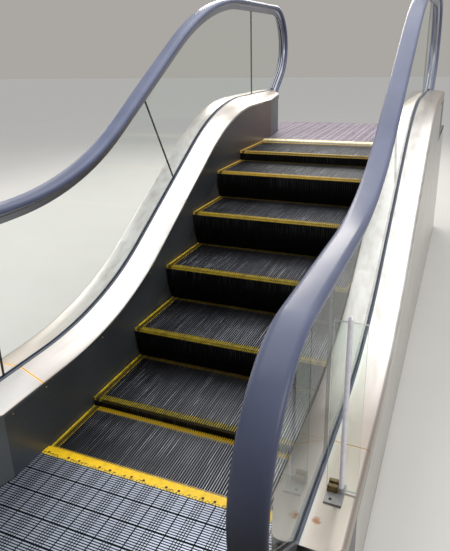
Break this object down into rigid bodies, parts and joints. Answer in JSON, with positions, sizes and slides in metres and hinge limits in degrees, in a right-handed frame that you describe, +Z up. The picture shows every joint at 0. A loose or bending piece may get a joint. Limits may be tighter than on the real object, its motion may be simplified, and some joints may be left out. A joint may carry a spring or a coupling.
{
  "type": "short escalator",
  "caption": "Short indoor escalator with cleated steps, yellow combs, stainless decks, glass balustrades and looped handrails.",
  "frame": {"origin": "middle of the underside, on the ground", "axes": "+X to the right when looking up the incline, +Y up the incline, +Z up"},
  "size_m": [1.4802, 4.6996, 1.872],
  "materials": {
    "frame_steel": "dark grey painted steel",
    "cladding_steel": "brushed stainless sheet",
    "roller_rubber": "black tyre rubber",
    "step_black": "black painted cast aluminium, worn bright on the cleats",
    "safety_yellow": "scuffed yellow",
    "floor_aluminium": "ribbed aluminium with dark grooves",
    "skirt_steel": "dark satin steel",
    "deck_steel": "bright brushed stainless",
    "gasket_rubber": "black rubber",
    "clear_glass": "clear toughened glass",
    "guide_steel": "satin stainless",
    "handrail_rubber": "polished blue-grey rubber",
    "clear_plastic": "clear acrylic"
  },
  "bodies": {
    "root": {"bottom_pan": "frame_steel", "lower_landing_frame": "frame_steel", "upper_landing_box": "frame_steel", "side_housings": "frame_steel", "end_panels": "cladding_steel", "left_cladding": "cladding_steel", "right_cladding": "cladding_steel", "step_tracks": "frame_steel", "step_rollers": "roller_rubber", "step_1": "step_black", "step_2": "step_black", "step_3": "step_black", "step_4": "step_black", "step_5": "step_black", "step_6": "step_black", "step_7": "step_black", "step_8": "step_black", "yellow_step_borders": "safety_yellow", "lower_comb": "safety_yellow", "upper_comb": "safety_yellow", "lower_comb_plate": "floor_aluminium", "upper_comb_plate": "floor_aluminium", "lower_floor_plate": "floor_aluminium", "upper_floor_plate": "floor_aluminium", "left_skirt": "skirt_steel", "right_skirt": "skirt_steel", "left_inner_deck": "deck_steel", "right_inner_deck": "deck_steel", "left_outer_deck": "deck_steel", "right_outer_deck": "deck_steel", "lower_left_newel_base": "deck_steel", "lower_right_newel_base": "deck_steel", "upper_left_newel_base": "deck_steel", "upper_right_newel_base": "deck_steel", "glass_channels": "frame_steel", "glass_gaskets": "gasket_rubber", "left_glass_panels": "clear_glass", "right_glass_panels": "clear_glass", "handrail_guides": "guide_steel", "left_handrail": "handrail_rubber", "right_handrail": "handrail_rubber", "handrail_inlets": "gasket_rubber", "barrier_plate": "clear_plastic", "barrier_post": "guide_steel"}
  },
  "joints": []
}
